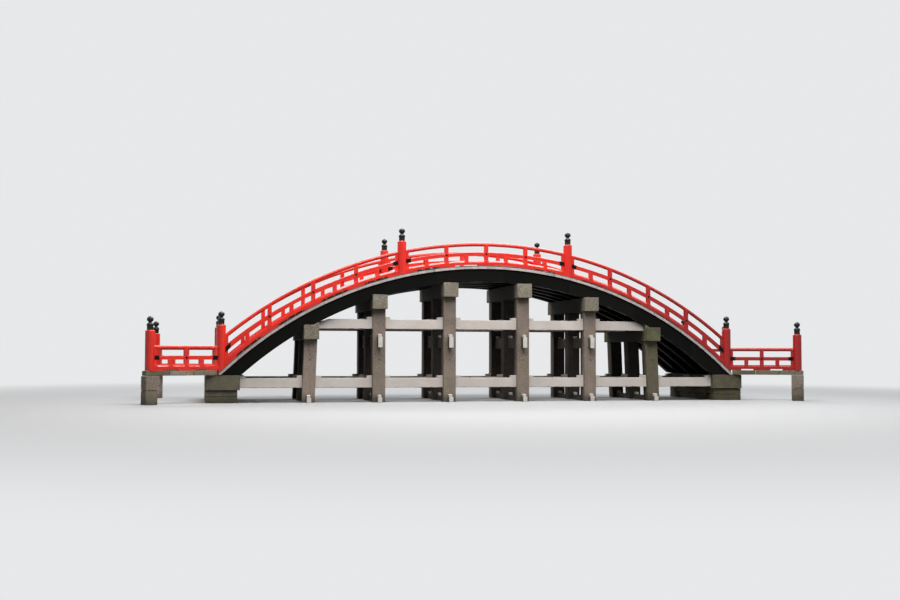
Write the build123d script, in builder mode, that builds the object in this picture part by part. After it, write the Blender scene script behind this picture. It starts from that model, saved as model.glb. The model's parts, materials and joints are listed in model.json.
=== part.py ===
from build123d import *
import os
from math import cos, radians, sin, sqrt

os.makedirs("parts", exist_ok=True)

# All sizes are in millimetres. X runs along the bridge, Y across it and Z up from the
# feet of the columns, with the origin under the middle of the arch. The front is towards -Y.

# Walkway arch
deck_crown_height = 5210.0
arch_radius = 14460.0
deck_thickness = 125.0
deck_half_width = 2330.0
deck_end_x = 10120.0

# Steps on the walkway
tread_first_x = 1350.0
tread_pitch = 330.0
tread_gap = 15.0
tread_thickness = 25.0
tread_half_width = 1900.0

# Girders under the deck
girder_depth = 495.0
girder_width = 300.0
outer_girder_y = 2120.0
inner_girder_y = 1060.0

# Bents: rows of stone columns under a cap beam
inner_bent_x = 1452.0
middle_bent_x = 4170.0
outer_bent_x = 6730.0
inner_bent_notch = 16.0
middle_bent_notch = 93.0
outer_bent_notch = 42.0
outer_bent_lean = 85.0
column_width = 480.0
column_row_y = 1970.0
cap_width = 570.0
cap_height = 540.0
cap_half_length = 2450.0

# Ties along the bridge, through each row of columns
tie_thickness = 220.0
lower_tie_bottom = 550.0
lower_tie_height = 360.0
upper_tie_bottom = 2755.0
upper_tie_height = 365.0
tie_girder_clearance = 50.0

# Ties across the bridge, through the columns of each bent
cross_tie_width = 165.0
cross_tie_half_length = 2500.0
upper_cross_tie_bottom = 2060.0
upper_cross_tie_height = 405.0
lower_cross_tie_height = 190.0

# Wedges that lock the ties in the columns
wedge_length = 210.0
wedge_height = 100.0
cross_wedge_width = 120.0

# Abutments
sill_inner_x = 9310.0
sill_length = 1240.0
sill_half_width = 2290.0
sill_bottom = 470.0
sill_height = 550.0
abutment_wall_setback = 80.0

# Posts of the railing
rail_line_y = 2080.0
main_post_x = 3300.0
end_post_x = 10000.0
post_radius = 167.5
post_bevel = 42.0
main_post_height = 1272.0
end_post_height = 1675.0
wing_post_height = 1430.0

# Onion-shaped finial on each post
finial_sleeve_radius = 113.0
finial_sleeve_height = 143.0
finial_shoulder_radius = 124.0
finial_shoulder_height = 190.0
finial_neck_radius = 54.0
finial_neck_height = 285.0
finial_bulb_radius = 118.0
finial_bulb_height = 386.0
finial_crown_radius = 83.0
finial_crown_height = 459.0
finial_tip_radius = 7.0
finial_height = 505.0

# Rails, measured upwards from the deck or the kerb
bottom_rail_rise = 50.0
bottom_rail_height = 160.0
bottom_rail_width = 200.0
bottom_rail_bevel = 60.0
mid_rail_rise = 390.0
mid_rail_height = 140.0
mid_rail_width = 100.0
top_rail_rise = 825.0
top_rail_radius = 67.5

# Struts between the rails, strips beside each post, and blocks under the bottom rail
strut_width = 155.0
strut_depth = 130.0
post_to_strut = 945.0
struts_in_panel = 7
strip_width = 90.0
strip_depth = 110.0
block_length = 660.0
post_block_reach = 400.0

# Metal fittings on the railing
band_reach = 175.0
band_thickness = 9.0
nail_cover_radius = 45.0
nail_cover_depth = 16.0

# Level wing railings beyond the end posts
wing_length = 2740.0
wing_splay = 25.0
wing_post_to_strut = 770.0
struts_in_wing = 3
kerb_height = 180.0
kerb_width = 300.0
kerb_end_gap = 8.0
footing_width = 450.0

# Heights and places that follow from the sizes above
across = (90, 0, 0)
along = (0, 90, 0)
standing = (Align.CENTER, Align.CENTER, Align.MIN)
arch_center = (0, 0, deck_crown_height - arch_radius)
cutter_width = 4 * deck_half_width
cutter_height = 2 * arch_radius
soffit_drop = deck_thickness + girder_depth
sill_top = sill_bottom + sill_height
kerb_top = sill_top + kerb_height
lower_tie_top = lower_tie_bottom + lower_tie_height
upper_tie_top = upper_tie_bottom + upper_tie_height
upper_cross_tie_top = upper_cross_tie_bottom + upper_cross_tie_height
bottom_rail_top = bottom_rail_rise + bottom_rail_height
mid_rail_top = mid_rail_rise + mid_rail_height
band_bottom = mid_rail_rise - band_thickness
band_top = mid_rail_top + band_thickness
band_depth = strip_depth + 2 * band_thickness
column_rows ={"front": -column_row_y, "middle": 0.0, "back": column_row_y}
rail_sides = {"front": -rail_line_y, "back": rail_line_y}
main_posts_x = (-main_post_x, main_post_x)
end_posts_x = (-end_post_x, end_post_x)
post_xs = (-end_post_x, -main_post_x, main_post_x, end_post_x)


def arch_z(x, rise=0.0):
    """Height of the curve that runs the given rise above the deck's top."""
    return arch_center[2] + sqrt((arch_radius + rise) ** 2 - x**2)


def arch_plane(y):
    """Upright plane along the bridge, with its origin at the centre of the arch."""
    return Plane(origin=(0, y, arch_center[2]), x_dir=(1, 0, 0), z_dir=(0, -1, 0))


def stations(start, end, count, margin):
    """Evenly spaced places whose first and last stand one margin from the ends."""
    pitch = (end - start - 2 * margin) / (count - 1)
    return [start + margin + pitch * number for number in range(count)]


def at_both_sides(places, z=0.0):
    """Points at the given places on the front and the back rail line."""
    return [(x, y, z) for x in places for y in rail_sides.values()]


def beside_posts(offset):
    """Places that lie the given distance from the posts, on each side with a railing."""
    places = [-end_post_x + offset, end_post_x - offset]
    for x in main_posts_x:
        places += [x - offset, x + offset]
    return places


def write(part, name):
    """Labels one finished piece and writes its file."""
    part.label = name
    export_step(part, f"parts/{name}.step")


# Each bent: its place, the depth of its seat in the girders, and its lean at the foot
bents = [
    (-outer_bent_x, outer_bent_notch, -outer_bent_lean),
    (-middle_bent_x, middle_bent_notch, 0.0),
    (-inner_bent_x, inner_bent_notch, 0.0),
    (inner_bent_x, inner_bent_notch, 0.0),
    (middle_bent_x, middle_bent_notch, 0.0),
    (outer_bent_x, outer_bent_notch, outer_bent_lean),
]
tied_bents = bents[1:-1]


def cap_top(x, notch):
    """Height of a cap beam's top, let into the girders by the depth of its seat."""
    return arch_z(x, -soffit_drop) + notch


# Places of the struts along the arch and along a wing
panel_ends = [(-end_post_x, -main_post_x), (-main_post_x, main_post_x), (main_post_x, end_post_x)]
short_strut_places = []
tall_strut_places = []
for start, end in panel_ends:
    places = stations(start, end, struts_in_panel, post_to_strut)
    short_strut_places += places[0::2]
    tall_strut_places += places[1::2]
wing_places = stations(0.0, wing_length, struts_in_wing, wing_post_to_strut)

# Cap beams
with BuildPart() as cap_beams:
    for x, notch, lean in bents:
        with Locations((x, 0, cap_top(x, notch) - cap_height)):
            Box(cap_width, 2 * cap_half_length, cap_height, align=standing)
write(cap_beams.part, "cap_beams")

# Ties along the bridge
with BuildPart() as lower_ties:
    with Locations(*[(0, y, lower_tie_bottom) for y in column_rows.values()]):
        Box(2 * sill_inner_x, tie_thickness, lower_tie_height, align=standing)
write(lower_ties.part, "lower_ties")

upper_tie_end_x = outer_bent_x - cap_width / 2
with BuildPart() as upper_ties:
    with Locations(*[(0, y, upper_tie_bottom) for y in column_rows.values()]):
        Box(2 * upper_tie_end_x, tie_thickness, upper_tie_height, align=standing)
    with Locations(arch_center):
        Cylinder(
            arch_radius - soffit_drop - tie_girder_clearance,
            cutter_width,
            rotation=across,
            mode=Mode.INTERSECT,
        )
write(upper_ties.part, "upper_ties")

# Ties across the bridge
with BuildPart() as upper_cross_ties:
    with Locations(*[(x, 0, upper_cross_tie_bottom) for x, notch, lean in tied_bents]):
        Box(cross_tie_width, 2 * cross_tie_half_length, upper_cross_tie_height, align=standing)
write(upper_cross_ties.part, "upper_cross_ties")

with BuildPart() as lower_cross_ties:
    with Locations(*[(x + lean, 0, 0) for x, notch, lean in bents]):
        Box(cross_tie_width, 2 * cross_tie_half_length, lower_cross_tie_height, align=standing)
write(lower_cross_ties.part, "lower_cross_ties")

# Columns, with mortises for the ties that pass through them
column_nodes = []
for number, (x, notch, lean) in enumerate(bents, start=1):
    column_height = cap_top(x, notch) - cap_height
    column_run = Vector(-lean, 0, column_height)
    with BuildPart() as columns:
        with BuildSketch(Plane.XY):
            with Locations(*[(x + lean, y) for y in column_rows.values()]):
                Rectangle(column_width, column_width)
        extrude(amount=column_run.length, dir=column_run.normalized())
        add(lower_ties.part, mode=Mode.SUBTRACT)
        add(upper_ties.part, mode=Mode.SUBTRACT)
        add(upper_cross_ties.part, mode=Mode.SUBTRACT)
        add(lower_cross_ties.part, mode=Mode.SUBTRACT)
    write(columns.part, f"columns_bent_{number}")
    column_nodes.append(columns.part)

# Wedges beside each column, on top of the ties
wedge_reach = column_width / 2 + wedge_length / 2
with BuildPart() as tie_wedges:
    for y in column_rows.values():
        for x, notch, lean in bents:
            foot_share = 1 - lower_tie_top / (cap_top(x, notch) - cap_height)
            column_x = x + lean * foot_share
            for side in (-1, 1):
                with Locations((column_x + side * wedge_reach, y, lower_tie_top)):
                    Box(wedge_length, tie_thickness, wedge_height, align=standing)
        for side in (-1, 1):
            with Locations((side * (sill_inner_x - wedge_length / 2), y, lower_tie_top)):
                Box(wedge_length, tie_thickness, wedge_height, align=standing)
        for x, notch, lean in tied_bents:
            for side in (-1, 1):
                with Locations((x + side * wedge_reach, y, upper_tie_top)):
                    Box(wedge_length, tie_thickness, wedge_height, align=standing)
    for column_set in column_nodes:
        add(column_set, mode=Mode.SUBTRACT)
write(tie_wedges.part, "tie_wedges")

with BuildPart() as cross_tie_wedges:
    for y in column_rows.values():
        for side in (-1, 1):
            wedge_y = y + side * wedge_reach
            with Locations(*[(x, wedge_y, upper_cross_tie_top) for x, notch, lean in tied_bents]):
                Box(cross_wedge_width, wedge_length, wedge_height, align=standing)
            with Locations(*[(x + lean, wedge_y, lower_cross_tie_height) for x, notch, lean in bents]):
                Box(cross_wedge_width, wedge_length, wedge_height, align=standing)
write(cross_tie_wedges.part, "cross_tie_wedges")

# Abutments
sill_center_x = sill_inner_x + sill_length / 2
with BuildPart() as sill_stones:
    with Locations((-sill_center_x, 0, sill_bottom), (sill_center_x, 0, sill_bottom)):
        Box(sill_length, 2 * sill_half_width, sill_height, align=standing)
write(sill_stones.part, "sill_stones")

wall_length = sill_length - abutment_wall_setback
wall_half_width = sill_half_width - abutment_wall_setback
wall_center_x = sill_center_x + abutment_wall_setback / 2
with BuildPart() as abutment_walls:
    with Locations((-wall_center_x, 0, 0), (wall_center_x, 0, 0)):
        Box(wall_length, 2 * wall_half_width, sill_bottom, align=standing)
write(abutment_walls.part, "abutment_walls")

# Girders, let down over the cap beams and cut level on the sills
girder_lines = {
    "girder_front": -outer_girder_y,
    "girder_inner_front": -inner_girder_y,
    "girder_middle": 0.0,
    "girder_inner_back": inner_girder_y,
    "girder_back": outer_girder_y,
}
for name, y in girder_lines.items():
    with BuildPart() as girder:
        with BuildSketch(arch_plane(y)):
            Circle(arch_radius - deck_thickness)
            Circle(arch_radius - soffit_drop, mode=Mode.SUBTRACT)
            with Locations((0, sill_top - arch_center[2])):
                Rectangle(
                    2 * deck_end_x,
                    cutter_height,
                    align=(Align.CENTER, Align.MIN),
                    mode=Mode.INTERSECT,
                )
        extrude(amount=girder_width / 2, both=True)
        add(cap_beams.part, mode=Mode.SUBTRACT)
    write(girder.part, name)

# Packing wedges between the outer cap beams and the rising soffit of each girder
packing_bottom = cap_top(outer_bent_x, outer_bent_notch)
packing_inner_x = outer_bent_x - cap_width / 2
with BuildPart() as girder_packing:
    for y in girder_lines.values():
        for side in (-1, 1):
            with Locations((side * (packing_inner_x + cap_width / 4), y, packing_bottom)):
                Box(cap_width / 2, girder_width, cap_height, align=standing)
    with Locations(arch_center):
        Cylinder(arch_radius - soffit_drop, cutter_width, rotation=across, mode=Mode.INTERSECT)
write(girder_packing.part, "girder_packing")

# Deck
with BuildPart() as deck:
    with BuildSketch(arch_plane(0)):
        Circle(arch_radius)
        Circle(arch_radius - deck_thickness, mode=Mode.SUBTRACT)
        with Locations((0, sill_top - arch_center[2])):
            Rectangle(
                2 * deck_end_x,
                cutter_height,
                align=(Align.CENTER, Align.MIN),
                mode=Mode.INTERSECT,
            )
    extrude(amount=deck_half_width, both=True)
write(deck.part, "deck")

# Steps, each with a level top that starts where the deck reaches it
tread_edges = []
upper_x = tread_first_x
while True:
    slope_length = sqrt(1 + (upper_x**2) / (arch_radius**2 - upper_x**2))
    lower_x = upper_x + tread_pitch / slope_length
    if lower_x > end_post_x:
        break
    tread_edges.append((upper_x, lower_x))
    upper_x = lower_x
for name, side in {"treads_left": -1, "treads_right": 1}.items():
    with BuildPart() as treads:
        for upper_x, lower_x in tread_edges:
            tread_run = lower_x - upper_x - tread_gap
            tread_top = arch_z(upper_x) + tread_thickness
            tread_middle_x = side * (lower_x - tread_run / 2)
            with Locations((tread_middle_x, 0, 0)):
                Box(tread_run, 2 * tread_half_width, tread_top, align=standing)
        with Locations(arch_center):
            Cylinder(arch_radius, cutter_width, rotation=across, mode=Mode.SUBTRACT)
    write(treads.part, name)

# Planes of the four wing railings: X runs outwards from the end post along the wing
wing_x = cos(radians(wing_splay))
wing_y = sin(radians(wing_splay))
wing_sides = {
    "front_left": (-1, -1),
    "front_right": (1, -1),
    "back_left": (-1, 1),
    "back_right": (1, 1),
}
wing_planes = {
    name: Plane(
        origin=(side_x * end_post_x, side_y * rail_line_y, 0),
        x_dir=(side_x * wing_x, side_y * wing_y, 0),
        z_dir=(0, 0, 1),
    )
    for name, (side_x, side_y) in wing_sides.items()
}

# Posts
with BuildPart() as main_posts:
    main_post_top = arch_z(main_post_x) + main_post_height
    with Locations(*at_both_sides(main_posts_x)):
        Cylinder(post_radius, main_post_top, align=standing)
    chamfer(main_posts.edges().group_by(Axis.Z)[-1], post_bevel)
    with Locations(arch_center):
        Cylinder(arch_radius, cutter_width, rotation=across, mode=Mode.SUBTRACT)
write(main_posts.part, "main_posts")

with BuildPart() as end_posts:
    end_post_top = arch_z(end_post_x) + end_post_height
    with Locations(*at_both_sides(end_posts_x)):
        Cylinder(post_radius, end_post_top, align=standing)
    chamfer(end_posts.edges().group_by(Axis.Z)[-1], post_bevel)
    with Locations(arch_center):
        Cylinder(arch_radius, cutter_width, rotation=across, mode=Mode.SUBTRACT)
write(end_posts.part, "end_posts")

wing_post_top = kerb_top + wing_post_height
with BuildPart(*wing_planes.values()) as wing_posts:
    with Locations((wing_length, 0, kerb_top)):
        Cylinder(post_radius, wing_post_height, align=standing)
    chamfer(wing_posts.edges().group_by(Axis.Z)[-1], post_bevel)
write(wing_posts.part, "wing_posts")

# Finials: a sleeve with a swelling shoulder, a narrow neck and an onion-shaped bulb
with BuildPart() as finial:
    with BuildSketch(Plane.XZ):
        with BuildLine():
            sleeve_end = (finial_sleeve_radius, finial_sleeve_height)
            neck_start = (finial_neck_radius, finial_neck_height)
            bulb_side = (finial_bulb_radius, finial_bulb_height)
            tip_edge = (finial_tip_radius, finial_height)
            Polyline((0, 0), (finial_sleeve_radius, 0), sleeve_end)
            Spline(
                sleeve_end,
                (finial_shoulder_radius, finial_shoulder_height),
                neck_start,
                tangents=((1, 3), (0, 1)),
            )
            Spline(
                neck_start,
                bulb_side,
                (finial_crown_radius, finial_crown_height),
                tip_edge,
                tangents=((1, 1), (-1, 3)),
            )
            Line(tip_edge, (0, finial_height))
            Line((0, finial_height), (0, 0))
        make_face()
    revolve(axis=Axis.Z)

wing_tops = [plane.location * Pos(wing_length, 0, wing_post_top) for plane in wing_planes.values()]
with BuildPart() as post_finials:
    with Locations(*at_both_sides(main_posts_x, main_post_top)):
        add(finial.part)
    with Locations(*at_both_sides(end_posts_x, end_post_top)):
        add(finial.part)
    with Locations(*wing_tops):
        add(finial.part)
write(post_finials.part, "post_finials")

# Rails of the arch, in spans between the posts
for side, y in rail_sides.items():
    with BuildPart() as bottom_rail:
        with BuildSketch(arch_plane(y)):
            Circle(arch_radius + bottom_rail_top)
            Circle(arch_radius + bottom_rail_rise, mode=Mode.SUBTRACT)
            Rectangle(
                2 * end_post_x,
                cutter_height,
                align=(Align.CENTER, Align.MIN),
                mode=Mode.INTERSECT,
            )
        extrude(amount=bottom_rail_width / 2, both=True)
        rail_arcs = bottom_rail.edges().filter_by(GeomType.CIRCLE).sort_by(SortBy.RADIUS)
        chamfer(rail_arcs[-2:], bottom_rail_bevel)
        with Locations(*[(x, y, 0) for x in post_xs]):
            Cylinder(post_radius, cutter_height, align=standing, mode=Mode.SUBTRACT)
    write(bottom_rail.part, f"bottom_rail_{side}")

    with BuildPart() as mid_rail:
        with BuildSketch(arch_plane(y)):
            Circle(arch_radius + mid_rail_top)
            Circle(arch_radius + mid_rail_rise, mode=Mode.SUBTRACT)
            Rectangle(
                2 * end_post_x,
                cutter_height,
                align=(Align.CENTER, Align.MIN),
                mode=Mode.INTERSECT,
            )
        extrude(amount=mid_rail_width / 2, both=True)
        with Locations(*[(x, y, 0) for x in post_xs]):
            Cylinder(post_radius, cutter_height, align=standing, mode=Mode.SUBTRACT)
    write(mid_rail.part, f"mid_rail_{side}")

    with BuildPart() as top_rail:
        with Locations((0, y, arch_center[2])):
            Torus(arch_radius + top_rail_rise, top_rail_radius, rotation=across)
            Box(
                2 * end_post_x,
                4 * top_rail_radius,
                cutter_height,
                align=standing,
                mode=Mode.INTERSECT,
            )
        with Locations(*[(x, y, 0) for x in post_xs]):
            Cylinder(post_radius, cutter_height, align=standing, mode=Mode.SUBTRACT)
    write(top_rail.part, f"top_rail_{side}")

# Short struts, from the bottom rail to the middle rail
with BuildPart() as short_struts:
    with Locations(*at_both_sides(short_strut_places)):
        Box(strut_width, strut_depth, cutter_height, align=standing)
    with Locations(arch_center):
        Cylinder(arch_radius + bottom_rail_top, cutter_width, rotation=across, mode=Mode.SUBTRACT)
        Cylinder(arch_radius + mid_rail_rise, cutter_width, rotation=across, mode=Mode.INTERSECT)
write(short_struts.part, "short_struts")

# Tall struts, with a mortise for the middle rail and a saddle under the top rail
with BuildPart() as tall_struts:
    with Locations(*at_both_sides(tall_strut_places)):
        Box(strut_width, strut_depth, cutter_height, align=standing)
    with Locations(arch_center):
        Cylinder(arch_radius + bottom_rail_top, cutter_width, rotation=across, mode=Mode.SUBTRACT)
        Cylinder(arch_radius + top_rail_rise, cutter_width, rotation=across, mode=Mode.INTERSECT)
    for y in rail_sides.values():
        with BuildSketch(arch_plane(y)):
            Circle(arch_radius + mid_rail_top)
            Circle(arch_radius + mid_rail_rise, mode=Mode.SUBTRACT)
        extrude(amount=mid_rail_width / 2, both=True, mode=Mode.SUBTRACT)
        with Locations((0, y, arch_center[2])):
            Torus(
                arch_radius + top_rail_rise,
                top_rail_radius,
                rotation=across,
                mode=Mode.SUBTRACT,
            )
write(tall_struts.part, "tall_struts")

# Strips beside each post, below and above the band round the middle rail's end
strip_reach = post_radius + strip_width
with BuildPart() as post_strips:
    with Locations(*at_both_sides(beside_posts(strip_reach / 2))):
        Box(strip_reach, strip_depth, cutter_height, align=standing)
    with Locations(arch_center):
        Cylinder(arch_radius + bottom_rail_top, cutter_width, rotation=across, mode=Mode.SUBTRACT)
        Cylinder(arch_radius + top_rail_rise, cutter_width, rotation=across, mode=Mode.INTERSECT)
    with Locations(*at_both_sides(post_xs)):
        Cylinder(post_radius, cutter_height, align=standing, mode=Mode.SUBTRACT)
    for y in rail_sides.values():
        with BuildSketch(arch_plane(y)):
            Circle(arch_radius + band_top)
            Circle(arch_radius + band_bottom, mode=Mode.SUBTRACT)
        extrude(amount=band_depth / 2, both=True, mode=Mode.SUBTRACT)
        with Locations((0, y, arch_center[2])):
            Torus(
                arch_radius + top_rail_rise,
                top_rail_radius,
                rotation=across,
                mode=Mode.SUBTRACT,
            )
write(post_strips.part, "post_strips")

# Blocks that hold the bottom rail off the deck, under the tall struts and beside the posts
post_block_length = post_radius + post_block_reach
with BuildPart() as rail_blocks:
    with Locations(*at_both_sides(tall_strut_places)):
        Box(block_length, bottom_rail_width, cutter_height, align=standing)
    with Locations(*at_both_sides(beside_posts(post_block_length / 2))):
        Box(post_block_length, bottom_rail_width, cutter_height, align=standing)
    with Locations(arch_center):
        Cylinder(arch_radius, cutter_width, rotation=across, mode=Mode.SUBTRACT)
        Cylinder(arch_radius + bottom_rail_rise, cutter_width, rotation=across, mode=Mode.INTERSECT)
    with Locations(*at_both_sides(post_xs)):
        Cylinder(post_radius, cutter_height, align=standing, mode=Mode.SUBTRACT)
write(rail_blocks.part, "rail_blocks")

# Metal bands round the ends of each middle rail and the strips there
band_length = post_radius + band_reach
wing_band_places = (band_length / 2, wing_length - band_length / 2)
with BuildPart(*wing_planes.values()) as wing_bands:
    with Locations(*[(x, 0, kerb_top + band_bottom) for x in wing_band_places]):
        Box(band_length, band_depth, band_top - band_bottom, align=standing)
    with Locations(*[(x, 0, kerb_top + mid_rail_rise) for x in wing_band_places]):
        Box(band_length, mid_rail_width, mid_rail_height, align=standing, mode=Mode.SUBTRACT)
    with Locations((0, 0, 0), (wing_length, 0, 0)):
        Cylinder(post_radius, cutter_height, align=standing, mode=Mode.SUBTRACT)

with BuildPart() as rail_bands:
    with Locations(*at_both_sides(beside_posts(band_length / 2))):
        Box(band_length, band_depth, cutter_height, align=standing)
    with Locations(arch_center):
        Cylinder(arch_radius + band_bottom, cutter_width, rotation=across, mode=Mode.SUBTRACT)
        Cylinder(arch_radius + band_top, cutter_width, rotation=across, mode=Mode.INTERSECT)
    for y in rail_sides.values():
        with BuildSketch(arch_plane(y)):
            Circle(arch_radius + mid_rail_top)
            Circle(arch_radius + mid_rail_rise, mode=Mode.SUBTRACT)
        extrude(amount=mid_rail_width / 2, both=True, mode=Mode.SUBTRACT)
    with Locations(*at_both_sides(post_xs)):
        Cylinder(post_radius, cutter_height, align=standing, mode=Mode.SUBTRACT)
    add(wing_bands.part)
write(rail_bands.part, "rail_bands")

# Nail covers on both faces of each tall strut
cover_y = strut_depth / 2 + nail_cover_depth / 2
cover_rise = mid_rail_rise + mid_rail_height / 2
with BuildPart(*wing_planes.values()) as wing_nail_covers:
    for x in wing_places[1::2]:
        with Locations((x, -cover_y, kerb_top + cover_rise), (x, cover_y, kerb_top + cover_rise)):
            Cylinder(nail_cover_radius, nail_cover_depth, rotation=across)

with BuildPart() as nail_covers:
    for x in tall_strut_places:
        for y in rail_sides.values():
            with Locations((x, y - cover_y, arch_z(x, cover_rise)), (x, y + cover_y, arch_z(x, cover_rise))):
                Cylinder(nail_cover_radius, nail_cover_depth, rotation=across)
    add(wing_nail_covers.part)
write(nail_covers.part, "nail_covers")

# Footings and kerbs that carry the wing railings
with BuildPart(*wing_planes.values()) as wing_footings:
    with Locations((wing_length, 0, 0)):
        Box(footing_width, footing_width, sill_top, align=standing)
write(wing_footings.part, "wing_footings")

kerb_start = (deck_end_x - end_post_x + kerb_end_gap + kerb_width / 2 * wing_y) / wing_x
kerb_end = wing_length + footing_width / 2
with BuildPart(*wing_planes.values()) as wing_kerbs:
    with Locations(((kerb_start + kerb_end) / 2, 0, sill_top)):
        Box(kerb_end - kerb_start, kerb_width, kerb_height, align=standing)
write(wing_kerbs.part, "wing_kerbs")

# Wing railings, each one joined frame between the end post and the wing post
wing_strip_places = (strip_reach / 2, wing_length - strip_reach / 2)
wing_post_block_places = (post_block_length / 2, wing_length - post_block_length / 2)
for name, plane in wing_planes.items():
    with BuildPart(plane) as wing_railing:
        with Locations((wing_length / 2, 0, kerb_top + bottom_rail_rise)):
            Box(wing_length, bottom_rail_width, bottom_rail_height, align=standing)
        top_edges = wing_railing.edges().filter_by(GeomType.LINE).group_by(Axis.Z)[-1]
        chamfer(top_edges.sort_by(Edge.length)[-2:], bottom_rail_bevel)
        with Locations((wing_length / 2, 0, kerb_top + mid_rail_rise)):
            Box(wing_length, mid_rail_width, mid_rail_height, align=standing)
        with Locations(*[(x, 0, kerb_top + bottom_rail_top) for x in wing_places[0::2]]):
            Box(strut_width, strut_depth, mid_rail_rise - bottom_rail_top, align=standing)
        with Locations(*[(x, 0, kerb_top + bottom_rail_top) for x in wing_places[1::2]]):
            Box(strut_width, strut_depth, top_rail_rise - bottom_rail_top, align=standing)
        with Locations(*[(x, 0, kerb_top + bottom_rail_top) for x in wing_strip_places]):
            Box(strip_reach, strip_depth, band_bottom - bottom_rail_top, align=standing)
        with Locations(*[(x, 0, kerb_top + band_top) for x in wing_strip_places]):
            Box(strip_reach, strip_depth, top_rail_rise - band_top, align=standing)
        with Locations(*[(x, 0, kerb_top) for x in wing_places[1::2]]):
            Box(block_length, bottom_rail_width, bottom_rail_rise, align=standing)
        with Locations(*[(x, 0, kerb_top) for x in wing_post_block_places]):
            Box(post_block_length, bottom_rail_width, bottom_rail_rise, align=standing)
        with Locations((wing_length / 2, 0, kerb_top + top_rail_rise)):
            Cylinder(top_rail_radius, wing_length, rotation=along)
        with Locations((0, 0, 0), (wing_length, 0, 0)):
            Cylinder(post_radius, cutter_height, align=standing, mode=Mode.SUBTRACT)
    write(wing_railing.part, f"wing_railing_{name}")
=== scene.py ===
"""Moon bridge: every finished surface of the bridge, in metres."""
import json
from itertools import pairwise
from math import atan, ceil, cos, pi, radians, sin

import bpy
import numpy as np
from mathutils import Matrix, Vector, noise


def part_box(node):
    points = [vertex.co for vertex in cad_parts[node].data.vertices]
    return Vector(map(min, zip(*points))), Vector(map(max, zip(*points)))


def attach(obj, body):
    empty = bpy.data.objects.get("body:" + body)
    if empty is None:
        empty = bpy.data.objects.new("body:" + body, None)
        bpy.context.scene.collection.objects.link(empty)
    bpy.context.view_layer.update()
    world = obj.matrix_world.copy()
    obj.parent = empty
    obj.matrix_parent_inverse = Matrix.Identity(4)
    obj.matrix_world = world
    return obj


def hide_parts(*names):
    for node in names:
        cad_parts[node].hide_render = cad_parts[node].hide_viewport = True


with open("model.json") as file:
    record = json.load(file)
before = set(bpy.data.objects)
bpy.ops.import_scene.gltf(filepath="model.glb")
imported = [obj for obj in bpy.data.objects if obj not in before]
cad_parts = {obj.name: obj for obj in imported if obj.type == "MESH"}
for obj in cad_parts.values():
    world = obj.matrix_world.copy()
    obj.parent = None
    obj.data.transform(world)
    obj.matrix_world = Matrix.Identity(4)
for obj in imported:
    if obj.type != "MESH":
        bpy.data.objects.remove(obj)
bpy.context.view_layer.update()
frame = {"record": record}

# Sizes of the bridge. X runs along it, Y across it and Z up from the feet of the columns.
deck_low, deck_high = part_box("deck")
DECK_CROWN = deck_high.z
DECK_END_X = deck_high.x
DECK_HALF_WIDTH = deck_high.y
SILL_TOP = deck_low.z
DECK_THICKNESS = 0.125
DECK_BOARDS = 74
DECK_BOARD_GAP = 0.006
ARCH_RADIUS = 14.46
ARCH_CENTER_Z = DECK_CROWN - ARCH_RADIUS
SOFFIT_DROP = 0.62

# Girders, from the front one to the back one, and the joints between the timbers of each
GIRDERS = ("girder_front", "girder_inner_front", "girder_middle", "girder_inner_back", "girder_back")
GIRDER_JOINTS = (-7.6, -4.9, -2.0, 0.7, 3.3, 6.0, 8.4)
GIRDER_JOINT_SHIFT = 0.35
GIRDER_JOINT_GAP = 0.003
GIRDER_TOE = 0.03

# Each bent: its place, the depth of its seat in the girders, and its lean at the foot
BENTS = [
    (-6.73, 0.042, -0.085),
    (-4.17, 0.093, 0.0),
    (-1.452, 0.016, 0.0),
    (1.452, 0.016, 0.0),
    (4.17, 0.093, 0.0),
    (6.73, 0.042, 0.085),
]
COLUMN_WIDTH = 0.48
COLUMN_ROWS = (-1.97, 0.0, 1.97)
CAP_SIZE = (0.57, 4.9, 0.54)
BORED_HOLE_Z = 1.6
BORED_HOLE_RADII = (0.0424, 0.02)

# How far from the middle line the painted shade of the deck sets in on the stone, and where the outer
# girders start, outside the painted shade of the inner ones
SHADE_Y = (2.2, 1.75)
OUTER_GIRDER_Y = (1.5, 1.7)

# Ties, and the wedges that lock them
TIE_THICKNESS = 0.22
LOWER_TIE = (0.55, 0.91)
LOWER_TIE_END_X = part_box("lower_ties")[1].x
UPPER_TIE = (2.755, 3.12)
UPPER_TIE_END_X = 6.445
TIE_CLEARANCE = 0.05
CROSS_TIE_WIDTH = 0.165
CROSS_TIE_LENGTH = 5.0
UPPER_CROSS_TIE = (2.06, 2.465)
LOWER_CROSS_TIE = (0.0, 0.19)
WEDGE_LENGTH = 0.21
WEDGE_HEIGHT = 0.1
CROSS_WEDGE_WIDTH = 0.12
WEDGE_TAPER = 0.14

# Steps
TREAD_FIRST_X = 1.35
TREAD_PITCH = 0.33
TREAD_GAP = 0.015
TREAD_RISE = 0.025
TREAD_BOARD = 0.032
TREAD_HALF_WIDTH = 1.9
RISER_SETBACK = 0.012
RISER_LAP = 0.002

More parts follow.
